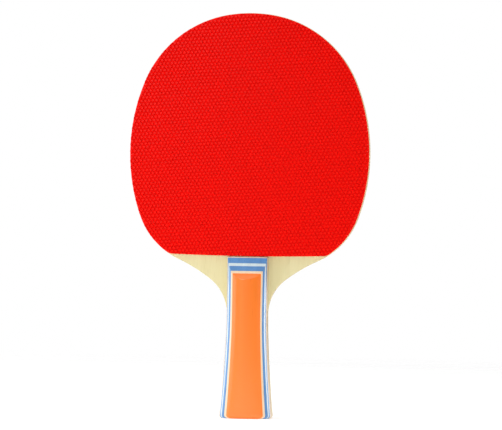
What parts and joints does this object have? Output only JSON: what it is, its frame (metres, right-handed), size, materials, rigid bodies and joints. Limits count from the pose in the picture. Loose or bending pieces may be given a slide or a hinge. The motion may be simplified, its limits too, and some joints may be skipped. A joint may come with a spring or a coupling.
{
  "type": "table tennis paddle",
  "caption": "Pips-out table tennis paddle: plywood blade with a tang, sponge and pimpled rubber on both faces, and a flared handle of coloured laminated wood.",
  "frame": {"origin": "the middle of the butt's flat end, on the blade's middle plane", "axes": "+Z from the butt to the tip of the blade, +X across the blade to the right as the front is looked at, and the front (red) face looks along -Y"},
  "size_m": [0.1506, 0.0232, 0.2535],
  "materials": {
    "red_rubber": "matte moulded rubber, pimples outward",
    "black_rubber": "matte moulded rubber, pimples outward",
    "sponge": "open-pored foam, cut edge",
    "face_wood": "sanded veneer, thin clear lacquer",
    "cross_wood": "sanded cut edge",
    "core_wood": "sanded cut edge",
    "handle_limba": "sanded, thin clear lacquer",
    "blue_veneer": "dyed veneer, satin lacquer",
    "white_veneer": "dyed veneer, satin lacquer",
    "cream_veneer": "satin lacquer",
    "orange_wood": "dyed wood, satin lacquer"
  },
  "bodies": {
    "root": {"blade_core": "core_wood", "front_cross_ply": "cross_wood", "front_face_ply": "face_wood", "front_sponge": "sponge", "front_pimpled_rubber": "red_rubber", "front_handle_base": "handle_limba", "front_handle_outer_blue_veneer": "blue_veneer", "front_handle_white_veneer": "white_veneer", "front_handle_inner_blue_veneer": "blue_veneer", "front_handle_cream_veneer": "cream_veneer", "front_handle_orange_cap": "orange_wood", "back_cross_ply": "cross_wood", "back_face_ply": "face_wood", "back_sponge": "sponge", "back_pimpled_rubber": "black_rubber", "back_handle_base": "handle_limba", "back_handle_outer_blue_veneer": "blue_veneer", "back_handle_white_veneer": "white_veneer", "back_handle_inner_blue_veneer": "blue_veneer", "back_handle_cream_veneer": "cream_veneer", "back_handle_orange_cap": "orange_wood"}
  },
  "joints": []
}
